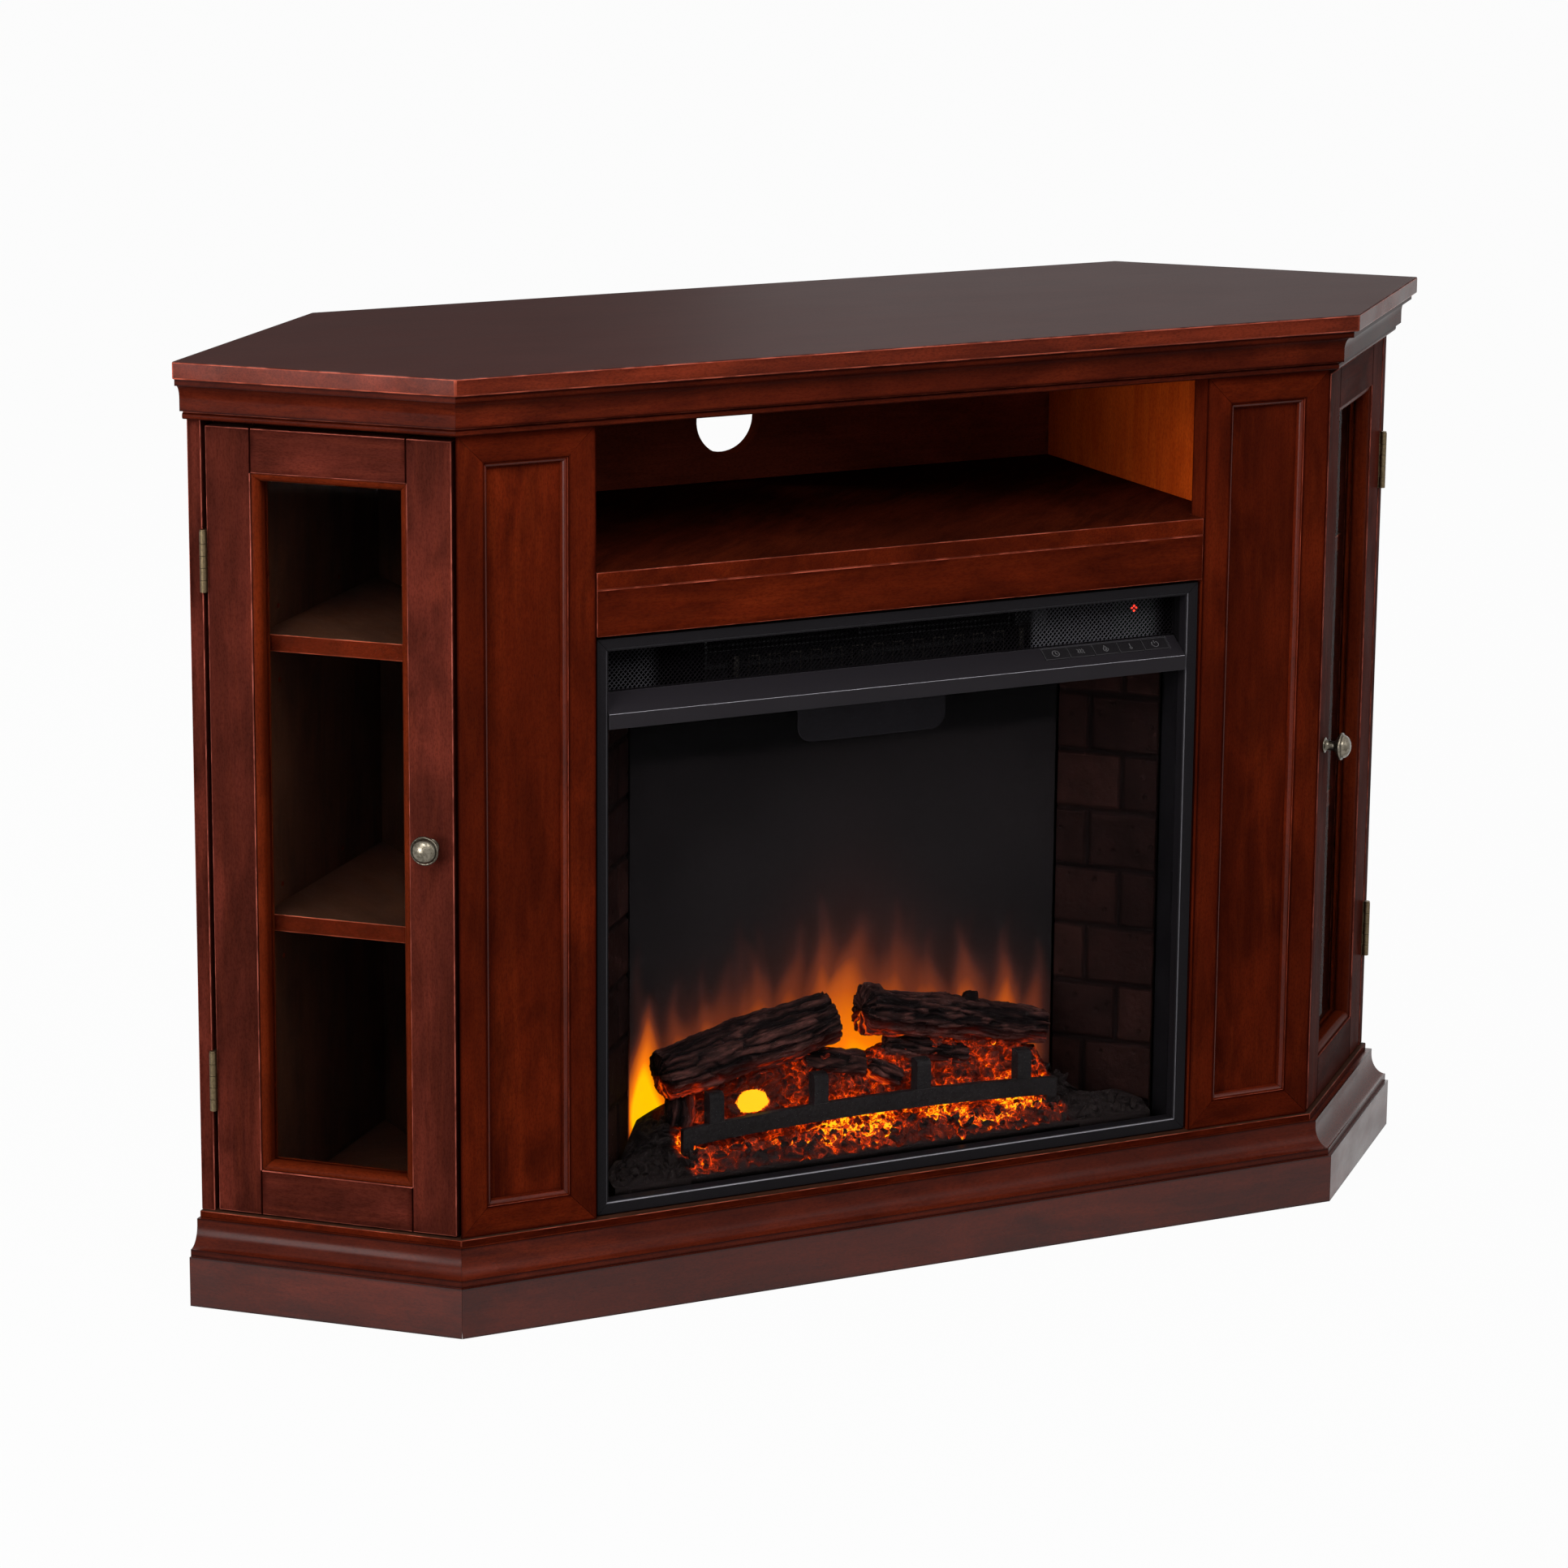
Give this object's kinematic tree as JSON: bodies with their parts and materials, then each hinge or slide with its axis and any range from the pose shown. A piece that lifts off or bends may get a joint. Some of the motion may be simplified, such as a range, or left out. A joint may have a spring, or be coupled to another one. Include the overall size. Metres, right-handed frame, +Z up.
{
  "type": "corner electric fireplace media console",
  "caption": "Corner media console with glazed side cabinets, an open media bay and an electric fireplace insert with log set.",
  "frame": {"origin": "on the floor, under the middle of the footprint", "axes": "+X to the viewer's right along the front, +Y from the front to the back, +Z up"},
  "size_m": [1.219, 0.382, 0.819],
  "materials": {
    "stained_wood": "cherry stain with dark glaze in the grooves, satin lacquer",
    "top_wood": "dark cherry stain, satin lacquer",
    "inner_wood": "cherry stain, satin lacquer",
    "hardboard": "painted hardboard, matte",
    "steel": "zinc plated",
    "antique_brass": "antique brass, worn",
    "pewter": "antique pewter, satin",
    "brown_plastic": "moulded, matte",
    "black_metal": "satin black powder coat",
    "black_plastic": "satin black",
    "circuit_board": "solder mask",
    "firebox_glass": "clear toughened glass",
    "door_glass": "clear glass",
    "brick": "moulded fire brick, matte",
    "flame_screen": "frosted dark screen",
    "charred_log": "painted charred bark, matte",
    "ember": "translucent ember cast, lit from below",
    "black_iron": "matte black",
    "galvanised": "bare sheet",
    "heater": "mica and ribbon",
    "lamp": "lamp strip",
    "foil": "bright foil",
    "rubber": "moulded"
  },
  "bodies": {
    "cabinet": {"top_panel": "top_wood", "crown_moulding": "stained_wood", "plinth_boards": "stained_wood", "base_cap_moulding": "stained_wood", "frame_rails": "stained_wood", "floor_panel": "stained_wood", "dividers": "inner_wood", "pilaster_frames": "stained_wood", "pilaster_panels": "stained_wood", "media_shelf": "stained_wood", "fascia_rail": "stained_wood", "hinge_posts": "stained_wood", "bay_back_panel": "stained_wood", "insert_back_cover": "hardboard", "side_panels": "inner_wood", "adjustable_shelves": "stained_wood", "shelf_pins": "steel", "back_cover_screws": "steel", "hinge_post_leaves": "antique_brass", "hinge_pins": "antique_brass", "magnetic_catches": "brown_plastic", "insert_trim_frame": "black_metal", "insert_housing": "black_metal", "control_ledge": "black_plastic", "vent_grille": "black_metal", "control_board": "circuit_board", "front_glass": "firebox_glass", "brick_panels": "brick", "flame_screen": "flame_screen", "lamp_baffle": "black_metal", "log_left": "charred_log", "log_right": "charred_log", "small_logs": "charred_log", "ember_bed": "ember", "grate": "black_iron", "spindle_motor": "steel", "blower_motor": "steel", "blower_housing": "galvanised", "heating_element": "heater", "ember_lamp_strip": "lamp", "cord_gland": "rubber"},
    "door_left": {"door_left_frame": "stained_wood", "door_left_glass": "door_glass", "door_left_glass_beads": "stained_wood", "door_left_knob": "pewter", "door_left_hinge_leaves": "antique_brass", "door_left_strike_plate": "steel"},
    "door_right": {"door_right_frame": "stained_wood", "door_right_glass": "door_glass", "door_right_glass_beads": "stained_wood", "door_right_knob": "pewter", "door_right_hinge_leaves": "antique_brass", "door_right_strike_plate": "steel"},
    "button_1": {"button_1": "black_plastic"},
    "button_2": {"button_2": "black_plastic"},
    "button_3": {"button_3": "black_plastic"},
    "button_4": {"button_4": "black_plastic"},
    "button_5": {"button_5": "black_plastic"},
    "flame_spindle": {"flame_spindle": "foil"},
    "blower_wheel": {"blower_wheel": "galvanised"}
  },
  "joints": [
    {"name": "door_left_hinge", "type": "hinge", "parent": "cabinet", "child": "door_left", "pos_m": [-0.58249, -0.00699, 0.422], "axis": [0, 0, -1], "range_deg": [0, 110]},
    {"name": "door_right_hinge", "type": "hinge", "parent": "cabinet", "child": "door_right", "pos_m": [0.58249, -0.00699, 0.422], "axis": [0, 0, 1], "range_deg": [0, 110]},
    {"name": "button_1_press", "type": "slide", "parent": "cabinet", "child": "button_1", "axis": [0, 0.587, -0.8096], "range_m": [0, 0.0015], "stiffness_N_per_m": 400, "springref_m": -0.001},
    {"name": "button_2_press", "type": "slide", "parent": "cabinet", "child": "button_2", "axis": [0, 0.587, -0.8096], "range_m": [0, 0.0015], "stiffness_N_per_m": 400, "springref_m": -0.001},
    {"name": "button_3_press", "type": "slide", "parent": "cabinet", "child": "button_3", "axis": [0, 0.587, -0.8096], "range_m": [0, 0.0015], "stiffness_N_per_m": 400, "springref_m": -0.001},
    {"name": "button_4_press", "type": "slide", "parent": "cabinet", "child": "button_4", "axis": [0, 0.587, -0.8096], "range_m": [0, 0.0015], "stiffness_N_per_m": 400, "springref_m": -0.001},
    {"name": "button_5_press", "type": "slide", "parent": "cabinet", "child": "button_5", "axis": [0, 0.587, -0.8096], "range_m": [0, 0.0015], "stiffness_N_per_m": 400, "springref_m": -0.001},
    {"name": "flame_spindle_spin", "type": "hinge", "parent": "cabinet", "child": "flame_spindle", "pos_m": [0, -0.017, 0.1155], "axis": [1, 0, 0], "continuous": true},
    {"name": "blower_spin", "type": "hinge", "parent": "cabinet", "child": "blower_wheel", "pos_m": [0, -0.053, 0.5445], "axis": [1, 0, 0], "continuous": true}
  ]
}
